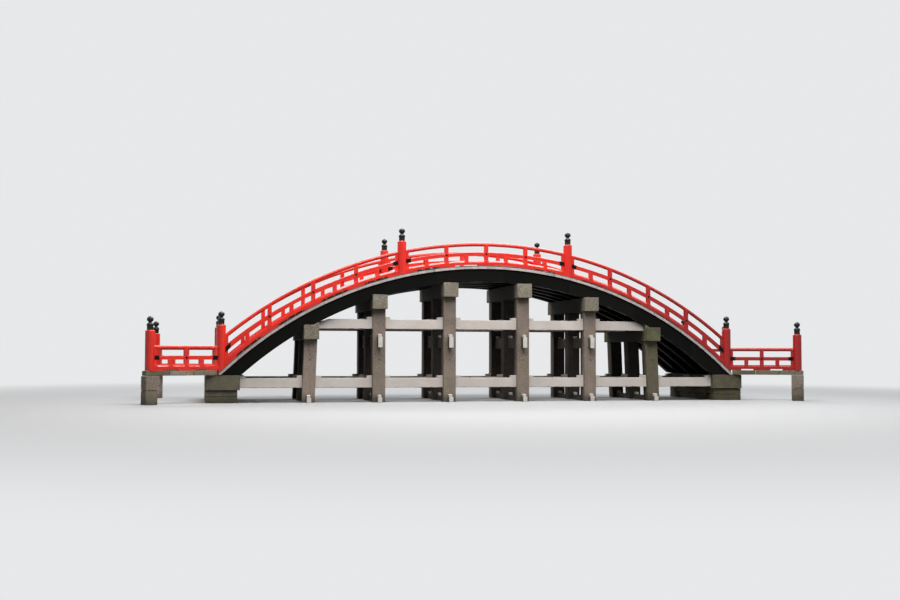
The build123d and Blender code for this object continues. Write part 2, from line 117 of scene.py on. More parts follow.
# Railing. A bevel is given as its height and depth, and a nail as its radius and depth.
RAIL_Y = 2.08
MAIN_POST_X = 3.3
END_POST_X = 10.0
POST_RADIUS = 0.1675
POST_BEVEL = 0.042
IN_POST = 0.7 * POST_RADIUS
MAIN_POST_HEIGHT = 1.272
END_POST_HEIGHT = 1.675
WING_POST_HEIGHT = 1.43
BOTTOM_RAIL = (0.05, 0.21)
BOTTOM_RAIL_WIDTH = 0.2
BOTTOM_RAIL_BEVEL = (0.06, 0.047)
BOTTOM_RAIL_EASE = 0.003
STRUT_FOOT = BOTTOM_RAIL[1] - 0.01
STOP_MARGIN = 0.006
MID_RAIL = (0.39, 0.53)
MID_RAIL_WIDTH = 0.1
MID_RAIL_BEVEL = (0.014, 0.011)
MID_RAIL_EASE = 0.0008
SHORT_STRUT_TOP = MID_RAIL[0] + 0.01
TOP_RAIL_RISE = 0.825
TOP_RAIL_RADIUS = 0.0675
STRUT_WIDTH = 0.155
STRUT_DEPTH = 0.13
STRIP_WIDTH = 0.09
STRIP_DEPTH = 0.11
BLOCK_LENGTH = 0.66
POST_BLOCK_REACH = 0.4
BAND_REACH = 0.175
BAND_THICKNESS = 0.006
BAND_NAIL = (0.009, 0.005)
BAND_NAIL_INSET = 0.03
NAIL_COVER_RADIUS = 0.045
NAIL_COVER_DEPTH = 0.016
PETAL_NOTCH = 0.12
DOME_REACH = 0.97
POST_TO_STRUT = 0.945
STRUTS_IN_PANEL = 7

# Wings
WING_LENGTH = 2.74
WING_SPLAY = radians(25)
WING_POST_TO_STRUT = 0.77
STRUTS_IN_WING = 3
KERB_HEIGHT = 0.18
KERB_WIDTH = 0.3
FOOTING_WIDTH = 0.45
KERB_TOP = SILL_TOP + KERB_HEIGHT
KERB_CLEARANCE = 0.008
JOINT_DEPTH = 0.04
STONE_GAP = 0.006
KERB_GAP = 0.005
FOOTING_GAP = 0.004

# The photograph's view
PHOTO_WIDTH = 900
PHOTO_HEIGHT = 600
FOCAL_PIXELS = 1157
HORIZON_ROW = 355
CAMERA_PLACE = (-10.95, -45.28, 1.78)
CAMERA_YAW = radians(12.445)
CAMERA_ROLL = 0.0025
SENSOR_WIDTH = 36.0
FAR_CLIP = 500

# A spacing longer than any side, which leaves the side in one length
UNCUT = 50

slot_of = {subpart["node"]: subpart["material_slot"] for subpart in frame["record"]["subparts"]}
random = np.random.default_rng(11)


def arch_z(x, rise=0.0):
    """Height of the curve that runs the given rise above the deck's top."""
    return ARCH_CENTER_Z + np.sqrt((ARCH_RADIUS + rise) ** 2 - np.square(x))


def cap_top(x, notch):
    """Top of a bent's cap beam, which is let into the girders by its notch."""
    return arch_z(x, -SOFFIT_DROP) + notch


def new_object(name, data):
    """An object in the scene that holds the data."""
    made = bpy.data.objects.new(name, data)
    bpy.context.scene.collection.objects.link(made)
    return made


class Gather:
    """Collects solids that become one joined mesh, with each solid's own grain coordinates."""

    def __init__(self):
        self.points = []
        self.faces = []
        self.grain = []
        self.place = []
        self.tint = []
        self.count = 0

    def add(self, points, faces, local, tint=None):
        """Adds one solid: its points in place, its faces, and the same points in its own axes.

        The tint, from 0 to 1, tells like solids apart. It is drawn at random unless it is given."""
        local = np.asarray(local, float)
        middle = (local.max(0) + local.min(0)) / 2
        half = np.maximum((local.max(0) - local.min(0)) / 2, 1e-6)
        self.points.append(np.asarray(points, float))
        self.faces += [[corner + self.count for corner in face] for face in faces]
        self.grain.append(local + random.uniform(-20, 20, 3))
        self.place.append((local - middle) / half)
        drawn = random.uniform(0, 1)
        self.tint.append(np.full(len(local), drawn if tint is None else tint))
        self.count += len(local)

    def add_about(self, solid, center, tint=None):
        """Adds a solid that is given about its own centre."""
        local, faces = solid
        self.add(local + center, faces, local, tint)

    def add_on(self, line, place, rise, solid):
        """Adds such a solid at a place on a line and a rise above it, bent to its curve."""
        local, faces = solid
        self.add(line.at(place + local[:, 0], local[:, 1], rise + local[:, 2]), faces, local)

    def finish(self, name, material, smooth_angle=50):
        """Makes the mesh object, with its normals, smooth shading and attributes."""
        mesh = bpy.data.meshes.new(name)
        mesh.from_pydata(np.concatenate(self.points).tolist(), [], self.faces)
        for key, kind, field, data in (
            ("grain", "FLOAT_VECTOR", "vector", self.grain),
            ("place", "FLOAT_VECTOR", "vector", self.place),
            ("tint", "FLOAT", "value", self.tint),
        ):
            layer = mesh.attributes.new(key, kind, "POINT")
            layer.data.foreach_set(field, np.concatenate(data).astype(np.float32).ravel())
        mesh.materials.append(material)
        mesh.shade_smooth()
        mesh.set_sharp_from_angle(angle=radians(smooth_angle))
        piece = new_object(name, mesh)
        piece.modifiers.new("even_normals", "WEIGHTED_NORMAL").keep_sharp = True
        return piece


def grid_quads(rows, columns, start=0):
    """Quads of a grid of points numbered row by row."""
    index = np.arange(rows * columns).reshape(rows, columns) + start
    corners = (index[:-1, :-1], index[1:, :-1], index[1:, 1:], index[:-1, 1:])
    return np.stack(corners, -1).reshape(-1, 4)


def side_steps(half, radius, pitch, corner):
    """Places across one side of a block: close in its rounded edges, a pitch apart between them."""
    flat = half - radius
    middle = np.linspace(-flat, flat, max(1, ceil(2 * flat / pitch)) + 1)
    edge = radius * np.tan(np.linspace(0, pi / 4, corner + 1)[1:])
    return np.concatenate([-flat - edge[::-1], middle, flat + edge])


def rounded_block(size, radius, pitch=(UNCUT,) * 3, corner=1):
    """Points and faces of a block with rounded edges about its own centre."""
    half = np.array(size) / 2
    steps = [side_steps(half[axis], radius, pitch[axis], corner) for axis in range(3)]
    points = []
    faces = []
    count = 0
    for axis in range(3):
        grid = np.meshgrid(steps[(axis + 1) % 3], steps[(axis + 2) % 3], indexing="ij")
        for side in (-1, 1):
            face = np.stack([np.full(grid[0].shape, side * half[axis]), *grid], -1)
            points.append(np.roll(face, axis, -1).reshape(-1, 3))
            quads = grid_quads(*grid[0].shape, count)
            faces.append(quads if side > 0 else quads[:, ::-1])
            count += grid[0].size
    points = np.concatenate(points)
    keys = np.round(points * 1e5).astype(np.int64)
    first, inverse = np.unique(keys, axis=0, return_index=True, return_inverse=True)[1:]
    faces = inverse.ravel()[np.concatenate(faces)]
    points = points[first]
    core = np.clip(points, radius - half, half - radius)
    away = points - core
    points = core + radius * away / np.linalg.norm(away, axis=1, keepdims=True)
    return points, faces.tolist()


def stone_block(size, pitch=0.06, radius=0.016, wear=0.01):
    """A rounded block with worn faces and chipped edges, inside the given size."""
    local, faces = rounded_block(size, radius, (pitch,) * 3, 2)
    half = np.array(size) / 2
    away = local - np.clip(local, radius - half, half - radius)
    inward = -away / np.linalg.norm(away, axis=1, keepdims=True)
    on_edge = (np.abs(away) > 1e-6).sum(axis=1) > 1
    spot = Vector(random.uniform(-50, 50, 3))
    depth = np.zeros(len(local))
    for number, point in enumerate(local):
        where = Vector(point) + spot
        depth[number] = 0.5 * wear * (1 + noise.fractal(where * 5, 1.0, 2.0, 3))
        if on_edge[number]:
            depth[number] += 3 * wear * max(0.0, noise.noise(where * 8) - 0.1)
    return local + inward * np.clip(depth, 0, 4 * wear)[:, None], faces


def skin(rings):
    """Faces over rings of equal size, closed by a flat face at each end."""
    rows, columns = len(rings), len(rings[0])
    index = np.arange(rows * columns).reshape(rows, columns)
    turned = np.roll(index, -1, axis=1)
    quads = np.stack([index[:-1], turned[:-1], turned[1:], index[1:]], -1).reshape(-1, 4)
    return quads.tolist() + [index[0][::-1].tolist(), index[-1].tolist()]


def lathe(profile, segments=40):
    """Points and faces of a turned shape, from (radius, height) pairs that run upwards."""
    turn = np.linspace(0, 2 * pi, segments, endpoint=False)
    circle = np.column_stack([np.cos(turn), np.sin(turn), np.zeros(segments)])
    rings = [radius * circle + (0, 0, height) for radius, height in profile]
    return np.concatenate(rings), skin(rings)


def rounded_rectangle(width, low, high, corner, steps=2):
    """Closed loop of (across, rise) points with rounded corners, counter-clockwise."""
    loop = []
    right, top, bottom = width / 2 - corner, high - corner, low + corner
    corners = ((0, right, top), (90, -right, top), (180, -right, bottom), (270, right, bottom))
    for start, across, rise in corners:
        for angle in np.radians(np.linspace(start, start + 90, steps + 1)):
            loop.append((across + corner * cos(angle), rise + corner * sin(angle)))
    return np.array(loop)


def bevelled_section(width, low, high, height, depth, ease):
    """Closed loop of (across, rise) points for a rail with bevelled upper edges and eased corners."""
    half = width / 2
    foot = high - height
    front = [
        (half - 2 * ease, low),
        (half, low + 2 * ease),
        (half, foot - ease),
        (half - ease * depth / height, foot + ease),
        (half - depth * (1 - ease / height), high - ease),
        (half - depth - ease, high),
    ]
    return np.array(front + [(-across, rise) for across, rise in front[::-1]])


class Line:
    """A line in plan that pieces follow, either over the arch or level at a given base."""

    def __init__(self, origin, angle=0.0, base=None):
        self.origin = np.array([origin[0], origin[1], 0.0])
        self.along = np.array([cos(angle), sin(angle), 0.0])
        self.across = np.array([-sin(angle), cos(angle), 0.0])
        self.base = base

    def at(self, along, across, rise):
        """Points at distances along and across the line, at a rise above its curve."""
        along, across, rise = np.broadcast_arrays(along, across, rise)
        points = self.origin + along[..., None] * self.along + across[..., None] * self.across
        points[..., 2] = arch_z(points[..., 0], rise) if self.base is None else self.base + rise
        return points


def bar(line, start, end, loop, pitch=0.15, ease=0.006, lowest=-100.0):
    """A bar along a line with the given section. Its ends are upright and slightly eased."""
    count = max(1, ceil((end - start) / pitch))
    places = np.linspace(start + ease, end - ease, count + 1)
    places = np.concatenate([[start], places, [end]])
    middle = loop.mean(0)
    rings = []
    local = []
    for place in places:
        inset = place in (start, end)
        share = 1 - ease / np.abs(loop - middle).max(0) if inset else 1.0
        section = middle + (loop - middle) * share
        ring = line.at(place, section[:, 0], section[:, 1])
        ring[:, 2] = np.maximum(ring[:, 2], lowest)
        rings.append(ring)
        local.append(np.column_stack([np.full(len(loop), place), section]))
    return np.concatenate(rings), skin(rings), np.concatenate(local)


class Nodes:
    """A node tree under construction."""

    def __init__(self, tree):
        self.tree = tree

    def node(self, kind, inputs=None, **settings):
        """A new node with its settings, and with what is plugged into its inputs."""
        made = self.tree.nodes.new(kind)
        for key, value in settings.items():
            setattr(made, key, value)
        for key, value in (inputs or {}).items():
            self.plug(value, made.inputs[key])
        return made

    def plug(self, value, socket):
        if isinstance(value, bpy.types.NodeSocket):
            self.tree.links.new(value, socket)
        else:
            socket.default_value = value

    def math(self, operation, first, second=0.0):
        return self.node("ShaderNodeMath", {0: first, 1: second}, operation=operation).outputs[0]

    def seen_directly(self):
        """1 on camera, mirror and glass rays, and 0 on rays that only carry light."""
        rays = self.node("ShaderNodeLightPath").outputs
        mirrored = self.math("MAXIMUM", rays["Is Camera Ray"], rays["Is Glossy Ray"])
        return self.math("MAXIMUM", mirrored, rays["Is Transmission Ray"])

    def blend(self, factor, first, second, output):
        """Joins two shaders into the tree's output."""
        shaders = {0: factor, 1: first.outputs[0], 2: second.outputs[0]}
        made = self.node("ShaderNodeMixShader", shaders)
        self.plug(made.outputs[0], self.tree.nodes[output].inputs["Surface"])


class Paint(Nodes):
    """A material under construction, with short names for the nodes that it needs."""

    def __init__(self, name):
        self.material = bpy.data.materials.new(name)
        self.material.use_nodes = True
        super().__init__(self.material.node_tree)
        self.shader = self.tree.nodes["Principled BSDF"]
        self.grain = self.attribute("grain").outputs["Vector"]
        self.place = self.split(self.attribute("place").outputs["Vector"])
        self.tint = self.attribute("tint").outputs["Fac"]
        geometry = self.node("ShaderNodeNewGeometry")
        self.position = geometry.outputs["Position"]
        self.world = self.split(self.position)
        self.facing = self.split(geometry.outputs["Normal"])

    def attribute(self, name):
        return self.node("ShaderNodeAttribute", attribute_name=name)

    def split(self, vector):
        return self.node("ShaderNodeSeparateXYZ", {0: vector}).outputs

    def away(self, value):
        """How far a value lies from zero."""
        return self.math("ABSOLUTE", value)

    def plus(self, value, share, other):
        """The value with a share of another one added."""
        return self.math("ADD", value, self.math("MULTIPLY", other, share))

    def noise(self, vector, scale, detail=4.0, stretch=(1, 1, 1), roughness=0.55):
        """Noise from 0 to 1 in the given coordinates, with a scale of its own along each."""
        scales = [scale * share for share in stretch]
        where = self.node("ShaderNodeMapping", {"Vector": vector, "Scale": scales}).outputs[0]
        inputs = {"Vector": where, "Scale": 1.0, "Detail": detail, "Roughness": roughness}
        return self.node("ShaderNodeTexNoise", inputs).outputs[0]

    def fade(self, value, low, high):
        """0 where the value is at or under low and 1 where it is at or over high, or the reverse."""
        limits = (low, high, 0.0, 1.0) if high > low else (high, low, 1.0, 0.0)
        inputs = dict(zip(("From Min", "From Max", "To Min", "To Max"), limits), Value=value)
        return self.node("ShaderNodeMapRange", inputs, interpolation_type="SMOOTHSTEP").outputs["Result"]

    def mix(self, factor, first, second):
        """A blend of two colours."""
        made = self.node("ShaderNodeMix", {"Factor": factor}, data_type="RGBA")
        colours = [socket for socket in made.inputs if socket.type == "RGBA"]
        for value, socket in zip((first, second), colours):
            self.plug(value if isinstance(value, bpy.types.NodeSocket) else (*value, 1.0), socket)
        return [socket for socket in made.outputs if socket.type == "RGBA"][0]

    def layers(self, colour, *rows):
        """The colour with tones laid over it in turn.

        A row holds a tone, its strength, and masks that limit it: sockets, or what a fade takes."""
        for tone, share, *masks in rows:
            for mask in masks:
                mask = self.fade(*mask) if isinstance(mask, tuple) else mask
                share = self.math("MULTIPLY", mask, share)
            colour = self.mix(share, colour, tone)
        return colour

    def finish(self, colour, roughness, height=None, depth=0.002, **constants):
        """Sets the shader's colour, roughness, bump and constant values."""
        self.plug(colour, self.shader.inputs["Base Color"])
        self.plug(roughness, self.shader.inputs["Roughness"])
        if height is not None:
            bump = self.node("ShaderNodeBump", {"Strength": 1.0, "Distance": depth, "Height": height})
            self.plug(bump.outputs[0], self.shader.inputs["Normal"])
        for key, value in constants.items():
            self.plug(value, self.shader.inputs[key.replace("_", " ")])
        return self.material


def vermilion_paint():
    """Glossy vermilion over timber, with a painted highlight that makes it paler where it looks up, and
    painted shade that turns it a deep crimson to the right.
    """
    paint = Paint("vermilion_paint")
    cloud = paint.noise(paint.grain, 1.6)
    streak = paint.noise(paint.grain, 1.0, 6, (4, 70, 70))
    speck = paint.noise(paint.position, 55, 2)
    colour = paint.layers(
        paint.mix(paint.fade(cloud, 0.4, 0.7), (0.72, 0.020, 0.008), (0.63, 0.016, 0.009)),
        # Painted shade: the paint turns a deep crimson towards the right end.
        ((0.27, 0.009, 0.011), 0.8, (paint.world[0], 1.5, 8)),
        # Painted highlight: paler where the paint looks up, as if it caught the sky.
        ((0.80, 0.19, 0.14), 0.4, (paint.facing[2], 0.5, 0.95)),
        ((0.22, 0.03, 0.02), 1, (speck, 0.7, 0.78), (cloud, 0.5, 0.75)),
    )
    roughness = paint.mix(cloud, (0.24,) * 3, (0.4,) * 3)
    return paint.finish(colour, roughness, streak, 0.0015, Specular_IOR_Level=0.0,
                        Coat_Weight=0.7, Coat_Roughness=0.05)


def black_timber():
    """Satin black on long timbers, with painted shade on the inner girders, and dust with painted light
    under the outer ones.
    """
    paint = Paint("black_timber")
    grain = paint.noise(paint.grain, 1.0, 6, (3, 55, 55))
    cloud = paint.noise(paint.grain, 2.0)
    outward = paint.away(paint.world[1])
    outer = (outward, *OUTER_GIRDER_Y)
    colour = paint.layers(
        paint.mix(cloud, (0.0035, 0.0038, 0.0036), (0.008, 0.008, 0.0075)),
        ((0.012, 0.011, 0.010), 0.4, (paint.tint, 0.3, 1.0)),
        # Dust and painted light: paler on the undersides of the outer girders.
        ((0.13, 0.115, 0.095), 1, (paint.facing[2], -0.6, -0.95), (cloud, 0.46, 0.56), outer),
        # Painted shade: the inner girders darker, under the deck.
        ((0.0012, 0.0012, 0.0011), 0.8, (outward, *OUTER_GIRDER_Y[::-1])),
    )
    return paint.finish(colour, 0.5, grain, 0.002, Specular_IOR_Level=0.03)


def black_metal():
    """Polished black fittings, with a painted highlight that makes them paler where they look up."""
    paint = Paint("black_metal")
    cloud = paint.noise(paint.position, 14)
    colour = paint.mix(cloud, (0.002, 0.002, 0.0022), (0.005, 0.005, 0.005))
    # Painted highlight: paler where the fittings look up, as if they caught the sky.
    colour = paint.layers(colour, ((0.09, 0.09, 0.094), 0.7, (paint.facing[2], 0.3, 0.8)))
    roughness = paint.mix(cloud, (0.2,) * 3, (0.3,) * 3)
    return paint.finish(colour, roughness, cloud, 0.0004, Specular_IOR_Level=0.0,
                        Coat_Weight=0.6, Coat_Roughness=0.04)


def dull_metal():
    """Black fittings that have gone dull, with a hint of maroon."""
    paint = Paint("dull_metal")
    cloud = paint.noise(paint.position, 14)
    colour = paint.mix(cloud, (0.0035, 0.0028, 0.003), (0.010, 0.004, 0.004))
    return paint.finish(colour, 0.35, cloud, 0.0004, Specular_IOR_Level=0.08)


def granite(name, base, pale, moss, under_deck_shade=0.0, holes=0.0, specked=1.0, film=0.75):
    """Weathered granite: grains, specks, rain streaks, lichen, a dark damp band at the foot, and painted
    light and shade.

    Shelter is painted shade on the stone under the deck, holes the painted shade of the small holes
    bored in each column, specked is the share of pale grains, and film the moss that a tint of 1 brings."""
    paint = Paint(name)
    grains = paint.noise(paint.position, 110, 2)
    specks = paint.noise(paint.position, 24, 3, roughness=0.7)
    cloud = paint.noise(paint.position, 2.2, 5)
    streak = paint.noise(paint.position, 1.0, 5, (7, 7, 1.2))
    pits = paint.noise(paint.position, 34, 3)
    lichen = paint.plus(paint.noise(paint.position, 3.4, 6), 0.12, paint.tint)
    height = paint.world[2]
    hole = (
        paint.math("MULTIPLY", paint.place[0], COLUMN_WIDTH / 2),
        paint.math("SUBTRACT", height, BORED_HOLE_Z),
    )
    reach = paint.math("ADD", *(paint.math("POWER", value, 2.0) for value in hole))
    foot = paint.plus(height, 0.25, paint.math("SUBTRACT", cloud, 0.5))
    colour = paint.layers(
        paint.mix(paint.fade(cloud, 0.3, 0.7), base, pale),
        # Painted light: paler and warmer below 2.4 m, leaving the stone higher up darker, as in the
        # shade of the caps.
        ((0.34, 0.27, 0.20), 0.35, (height, 2.4, 1.0)),
        ((0.08, 0.064, 0.055), 0.3, (streak, 0.5, 0.72)),
        ((0.44, 0.40, 0.37), 0.5 * specked, (specks, 0.53, 0.62)),
        ((0.06, 0.05, 0.045), 0.6, (specks, 0.47, 0.38)),
        ((0.42, 0.39, 0.36), 0.45 * specked, (grains, 0.55, 0.7)),
        ((0.04, 0.036, 0.033), 0.55, (grains, 0.44, 0.3)),
        # The moss film, which on the last bent also stands for painted shade.
        ((0.054, 0.051, 0.028), film, paint.tint),
        ((0.15, 0.165, 0.055), moss, (lichen, 0.54, 0.68), (pits, 0.3, 0.6)),
        # Painted shade: darker at the top of each stone's sides, under what rests on it.
        ((0.06, 0.053, 0.045), 0.4, (paint.place[2], 0.9, 1.0), (paint.facing[2], 0.6, 0.2)),
        # Painted shade: darker under the deck.
        ((0.018, 0.015, 0.013), under_deck_shade, (paint.away(paint.world[1]), *SHADE_Y)),
        # Painted shade: dark spots for the small holes bored in each column.
        ((0.03, 0.026, 0.024), holes, (reach, *(radius ** 2 for radius in BORED_HOLE_RADII))),
        ((0.035, 0.034, 0.02), 0.6, (foot, 0.4, 0.05)),
    )
    return paint.finish(colour, 0.85, paint.plus(pits, 0.5, grains), 0.006, Specular_IOR_Level=0.3)


def pale_timber():
    """Pale grey paint on the ties, brown along the lower edge and chipped in places."""
    paint = Paint("pale_timber")
    cloud = paint.noise(paint.grain, 1.1, 5)
    grain = paint.noise(paint.grain, 1.0, 6, (3, 50, 50))
    chips = paint.noise(paint.grain, 9, 5, (0.6, 1, 1))
    edge = paint.plus(paint.place[2], 0.35, paint.math("SUBTRACT", chips, 0.5))
    bare = paint.math("MULTIPLY", paint.fade(chips, 0.68, 0.73), paint.fade(cloud, 0.5, 0.62))
    colour = paint.layers(
        paint.mix(paint.fade(cloud, 0.3, 0.7), (0.55, 0.50, 0.46), (0.63, 0.58, 0.545)),
        ((0.36, 0.31, 0.26), 0.35, (grain, 0.55, 0.75)),
        ((0.12, 0.07, 0.045), 1, (edge, -0.90, -1.0)),
        ((0.17, 0.12, 0.09), 1, bare),
    )
    height = paint.math("SUBTRACT", paint.math("MULTIPLY", grain, 0.4), bare)
    return paint.finish(colour, 0.6, height, 0.002, Specular_IOR_Level=0.35)


def bare_timber():
    """Weathered olive-brown timber with white painted ends, for the ties across the bridge."""
    paint = Paint("bare_timber")
    cloud = paint.noise(paint.grain, 2.0, 5)
    grain = paint.noise(paint.grain, 1.0, 7, (45, 3, 45))
    white = paint.mix(paint.fade(cloud, 0.5, 0.8), (0.62, 0.60, 0.56), (0.42, 0.40, 0.35))
    colour = paint.layers(
        paint.mix(cloud, (0.085, 0.068, 0.055), (0.14, 0.115, 0.092)),
        ((0.045, 0.036, 0.03), 1, (grain, 0.5, 0.7)),
        (white, 1, (paint.away(paint.place[1]), 0.990, 0.994)),
    )
    return paint.finish(colour, 0.75, grain, 0.003, Specular_IOR_Level=0.3)


def deck_timber():
    """Weathered boards that run across the bridge, with painted shade on the faces that look down or
    across, and ends painted white low down.
    """
    paint = Paint("deck_timber")
    cloud = paint.noise(paint.grain, 2.2, 5)
    grain = paint.noise(paint.grain, 1.0, 7, (60, 2.5, 60))
    dirt = paint.noise(paint.position, 5, 6)
    white = paint.layers(
        paint.mix(paint.fade(paint.tint, 0.55, 0.95), (0.49, 0.425, 0.42), (0.38, 0.35, 0.335)),
        ((0.14, 0.12, 0.105), 0.6, (dirt, 0.56, 0.72)),
        ((0.20, 0.18, 0.17), 0.12, (paint.away(paint.world[0]), 1.5, 6)),
    )
    end = (paint.away(paint.world[1]), DECK_HALF_WIDTH - 0.016, DECK_HALF_WIDTH - 0.012)
    colour = paint.layers(
        paint.mix(cloud, (0.14, 0.115, 0.088), (0.24, 0.205, 0.165)),
        ((0.115, 0.095, 0.075), 0.5, paint.tint),
        ((0.07, 0.055, 0.04), 0.7, (grain, 0.5, 0.72)),
        # Painted shade: dark on the faces that look down.
        ((0.04, 0.036, 0.033), 1, (paint.facing[2], -0.3, -0.8)),
        # Painted shade: dark on the faces that look across the bridge, such as the treads' ends and the
        # board ends above their white paint.
        ((0.02, 0.017, 0.014), 0.85, (paint.away(paint.facing[1]), 0.7, 0.9)),
        (white, 1, end, (paint.place[2], 0.56, 0.42)),
    )
    return paint.finish(colour, 0.7, grain, 0.003, Specular_IOR_Level=0.3)


materials = {
    "vermilion_paint": vermilion_paint(),
    "black_timber": black_timber(),
    "black_metal": black_metal(),
    "column_stone": granite(
        "column_stone", (0.21, 0.160, 0.133), (0.30, 0.232, 0.198), moss=0.3, under_deck_shade=0.85, holes=0.7
    ),
    "cap_stone": granite(
        "cap_stone", (0.21, 0.18, 0.138), (0.27, 0.238, 0.19), moss=0.6, under_deck_shade=0.9, film=0.88
    ),
    "pale_timber": pale_timber(),
    "deck_timber": deck_timber(),
}
cross_tie_material = bare_timber()
sill_material = granite(
    "sill_stone", (0.045, 0.043, 0.034), (0.066, 0.063, 0.052), moss=0.5, specked=0.45
)
fitting_material = dull_metal()


def dress(gather, node, material=None, smooth_angle=50):
    """Turns gathered solids into the piece that stands for a node of the frame."""
    slot = slot_of[node]
    piece = gather.finish(f"{node}_dressed", material or materials[slot], smooth_angle)
    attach(piece, "root")
    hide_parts(node)


def stone_age_and_shade(number):
    """How dark and mossy the stones of a bent are, at random. The last bent's dark film paints the shade
    it stands in.
    """
    return 0.95 if number == len(BENTS) else random.uniform(0, 0.3)


def build_columns():
    """Stone columns of each bent. The outer ones lean inwards."""
    for number, (x, notch, lean) in enumerate(BENTS, start=1):
        columns = Gather()
        height = cap_top(x, notch) - CAP_SIZE[2]
        size = (COLUMN_WIDTH, COLUMN_WIDTH, height)
        for y in COLUMN_ROWS:
            local, faces = stone_block(size, pitch=0.07, radius=0.012, wear=0.004)
            points = local + (x, y, height / 2)
            points[:, 0] += lean * (0.5 - local[:, 2] / height)
            columns.add(points, faces, local, stone_age_and_shade(number))
        dress(columns, f"columns_bent_{number}")


def build_caps():
    """Cap beams over the columns, and the packing between the outer ones and the girders."""
    caps = Gather()
    for number, (x, notch, _) in enumerate(BENTS, start=1):
        cap = stone_block(CAP_SIZE, pitch=0.065, radius=0.014, wear=0.005)
        caps.add_about(cap, (x, 0, cap_top(x, notch) - CAP_SIZE[2] / 2), stone_age_and_shade(number))
    dress(caps, "cap_beams")

    packing = Gather()
    low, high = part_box("girder_packing")
    inner_x = BENTS[-1][0] - CAP_SIZE[0] / 2
    for node in GIRDERS:
        girder_low, girder_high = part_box(node)
        size = (high.x - inner_x, girder_high.y - girder_low.y, 1.0)
        for side in (-1, 1):
            local, faces = rounded_block(size, 0.006, pitch=(0.05,) * 3)
            x = side * ((inner_x + high.x) / 2 + local[:, 0])
            y = (girder_low.y + girder_high.y) / 2 + local[:, 1]
            top = np.maximum(arch_z(x, -SOFFIT_DROP) - low.z, 0.004)
            packing.add(np.column_stack([x, y, low.z + (local[:, 2] + 0.5) * top]), faces, local)
    dress(packing, "girder_packing")


def build_girders():
    """Curved girders, each of several timbers butted end to end."""
    toe = SILL_TOP + GIRDER_TOE - ARCH_CENTER_Z
    end_x = np.sqrt((ARCH_RADIUS - DECK_THICKNESS) ** 2 - toe ** 2)
    gap = GIRDER_JOINT_GAP / 2
    for number, node in enumerate(GIRDERS):
        girder = Gather()
        low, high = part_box(node)
        line = Line((0, (low.y + high.y) / 2))
        section = rounded_rectangle(high.y - low.y, -SOFFIT_DROP, -DECK_THICKNESS, 0.012)
        shift = GIRDER_JOINT_SHIFT * (number % 3)
        joints = [-end_x, *(joint + shift for joint in GIRDER_JOINTS), end_x]
        for start, end in pairwise(joints):
            timber = bar(line, start + gap, end - gap, section, pitch=0.25, ease=0.004, lowest=SILL_TOP)
            girder.add(*timber)
        dress(girder, node)


def build_deck():
    """Deck boards laid square to the arch, from one end to the other."""
    deck = Gather()
    half_angle = np.arcsin(DECK_END_X / ARCH_RADIUS)
    pitch = 2 * half_angle / DECK_BOARDS
    width = pitch * ARCH_RADIUS - DECK_BOARD_GAP
    for number in range(DECK_BOARDS):
        reach = DECK_HALF_WIDTH - random.uniform(0, 0.006)
        local, faces = rounded_block((width, 2 * reach, DECK_THICKNESS), 0.006)
        angle = -half_angle + (number + 0.5) * pitch + local[:, 0] / ARCH_RADIUS
        radius = ARCH_RADIUS - DECK_THICKNESS / 2 + local[:, 2]
        z = np.maximum(ARCH_CENTER_Z + radius * np.cos(angle), SILL_TOP)
        deck.add(np.column_stack([radius * np.sin(angle), local[:, 1], z]), faces, local)
    dress(deck, "deck")


def build_steps():
    """Level treads with risers under them, on both flanks of the arch."""
    for node, side in (("treads_left", -1), ("treads_right", 1)):
        steps = Gather()
        upper_x = TREAD_FIRST_X
        while True:
            lower_x = upper_x + TREAD_PITCH * np.sqrt(1 - (upper_x / ARCH_RADIUS) ** 2)
            if lower_x > END_POST_X:
                break
            top = arch_z(upper_x) + TREAD_RISE
            run = lower_x - upper_x - TREAD_GAP
            board = rounded_block((run, 2 * TREAD_HALF_WIDTH, TREAD_BOARD), 0.007, corner=2)
            steps.add_about(board, (side * (lower_x - run / 2), 0, top - TREAD_BOARD / 2))
            size = (run, 2 * TREAD_HALF_WIDTH - 0.02, 1.0)
            local, faces = rounded_block(size, 0.004, pitch=(0.06, UNCUT, UNCUT))
            x = lower_x - run / 2 - RISER_SETBACK + local[:, 0]
            foot = arch_z(x) - 2 * RISER_LAP
            head = np.maximum(top - TREAD_BOARD + RISER_LAP, foot + RISER_LAP)
            z = foot + (local[:, 2] + 0.5) * (head - foot)
            steps.add(np.column_stack([side * x, local[:, 1], z]), faces, local)
            upper_x = lower_x
        dress(steps, node)


